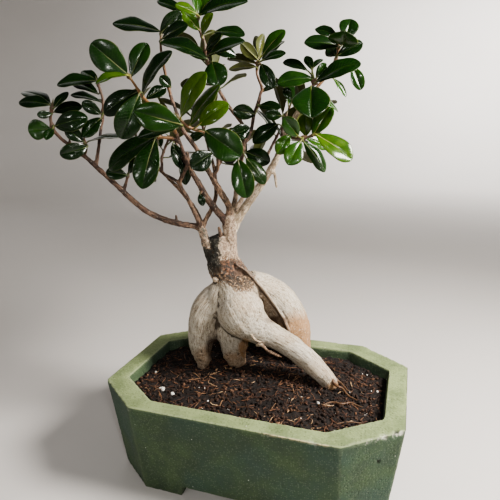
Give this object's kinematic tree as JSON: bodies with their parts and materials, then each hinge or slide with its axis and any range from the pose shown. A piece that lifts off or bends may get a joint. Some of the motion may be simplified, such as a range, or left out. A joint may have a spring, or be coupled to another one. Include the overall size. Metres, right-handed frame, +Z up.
{
  "type": "potted ginseng ficus",
  "caption": "Ginseng ficus on swollen, arched roots, with grafted branches and clusters of glossy oval leaves, growing in a long eight-sided concrete bonsai pot filled with peat soil.",
  "frame": {"origin": "middle of the object's box in plan, on the surface the pot stands on", "axes": "+Z up, +X along the pot's long side towards the right, +Y from the pot's front to its back"},
  "size_m": [0.3074, 0.209, 0.3871],
  "materials": {
    "pigmented_concrete": "matte, through-coloured sage green cast concrete with worn, chipped edges and fine pores",
    "peat_soil": "matte, crumbly dark peat with fibres and white mineral specks",
    "ficus_bark": "dull, thin pale grey bark with fine wrinkles, darker and rougher on the stump",
    "ficus_leaf": "glossy, leathery dark green with a paler midrib"
  },
  "bodies": {
    "root": {"pot": "pigmented_concrete", "soil": "peat_soil", "roots_and_branches": "ficus_bark", "shoot_b1_side": "ficus_leaf", "shoot_back_centre": "ficus_leaf", "shoot_back_centre_low": "ficus_leaf", "shoot_back_left": "ficus_leaf", "shoot_back_left_low": "ficus_leaf", "shoot_back_mid_right": "ficus_leaf", "shoot_back_right": "ficus_leaf", "shoot_back_right_low": "ficus_leaf", "shoot_back_top": "ficus_leaf", "shoot_centre_bright": "ficus_leaf", "shoot_centre_dark": "ficus_leaf", "shoot_centre_low": "ficus_leaf", "shoot_far_left": "ficus_leaf", "shoot_inner_right": "ficus_leaf", "shoot_inner_top": "ficus_leaf", "shoot_left_hanging": "ficus_leaf", "shoot_left_high": "ficus_leaf", "shoot_left_inner": "ficus_leaf", "shoot_left_low": "ficus_leaf", "shoot_middle": "ficus_leaf", "shoot_red": "ficus_leaf", "shoot_right": "ficus_leaf", "shoot_right_low": "ficus_leaf", "shoot_right_top": "ficus_leaf", "shoot_top": "ficus_leaf", "shoot_top_left": "ficus_leaf", "shoot_top_middle": "ficus_leaf", "shoot_v": "ficus_leaf"}
  },
  "joints": []
}
